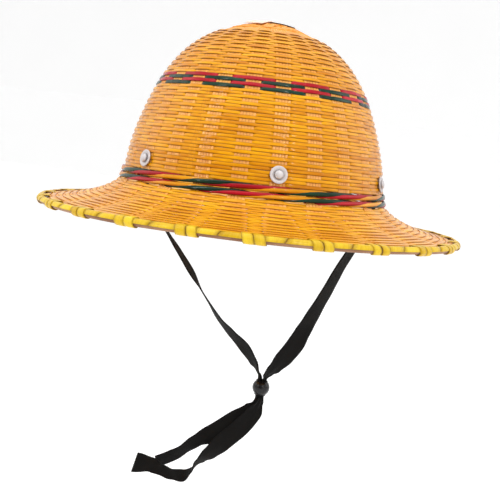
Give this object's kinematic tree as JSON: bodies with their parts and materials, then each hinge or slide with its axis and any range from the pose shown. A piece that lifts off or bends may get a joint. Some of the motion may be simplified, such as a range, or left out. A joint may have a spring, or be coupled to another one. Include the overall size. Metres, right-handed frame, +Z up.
{
  "type": "pith helmet",
  "caption": "Round woven straw sun helmet with a domed crown, red and green woven bands, a lashed flared brim and a black tape chin strap with a bead.",
  "frame": {"origin": "centre of the head opening, level with the middle of the lower band", "axes": "+Z up along the crown's axis, front towards -Y"},
  "size_m": [0.344, 0.344, 0.3857],
  "materials": {
    "straw": "lacquered",
    "pale_split": "lacquered",
    "brown_split": "lacquered",
    "red_weft": "dyed and lacquered",
    "green_weft": "dyed and lacquered",
    "hoop_cane": "lacquered",
    "lashing": "lacquered",
    "zinc": "satin",
    "tape": "woven",
    "bead_plastic": "glossy"
  },
  "bodies": {
    "root": {"crown_cap": "straw", "apex_strip_pale": "pale_split", "apex_strip_brown": "brown_split", "crown_top_weave": "straw", "upper_band_red_a": "red_weft", "upper_band_green_a": "green_weft", "upper_band_red_b": "red_weft", "upper_band_green_b": "green_weft", "crown_side_weave": "straw", "lower_band_upper_row": "red_weft", "lower_band_lower_row": "red_weft", "brim_flare_weave": "straw", "brim_weave": "straw", "rim_hoop": "hoop_cane", "rim_lashing": "lashing", "washer_1": "zinc", "washer_2": "zinc", "washer_3": "zinc", "washer_4": "zinc", "washer_5": "zinc", "washer_6": "zinc", "rivet_1": "zinc", "rivet_2": "zinc", "rivet_3": "zinc", "rivet_4": "zinc", "rivet_5": "zinc", "rivet_6": "zinc", "strap_tab_left": "tape", "strap_tab_right": "tape", "chin_tape_left": "tape", "chin_tape_right": "tape", "chin_bead": "bead_plastic"}
  },
  "joints": []
}
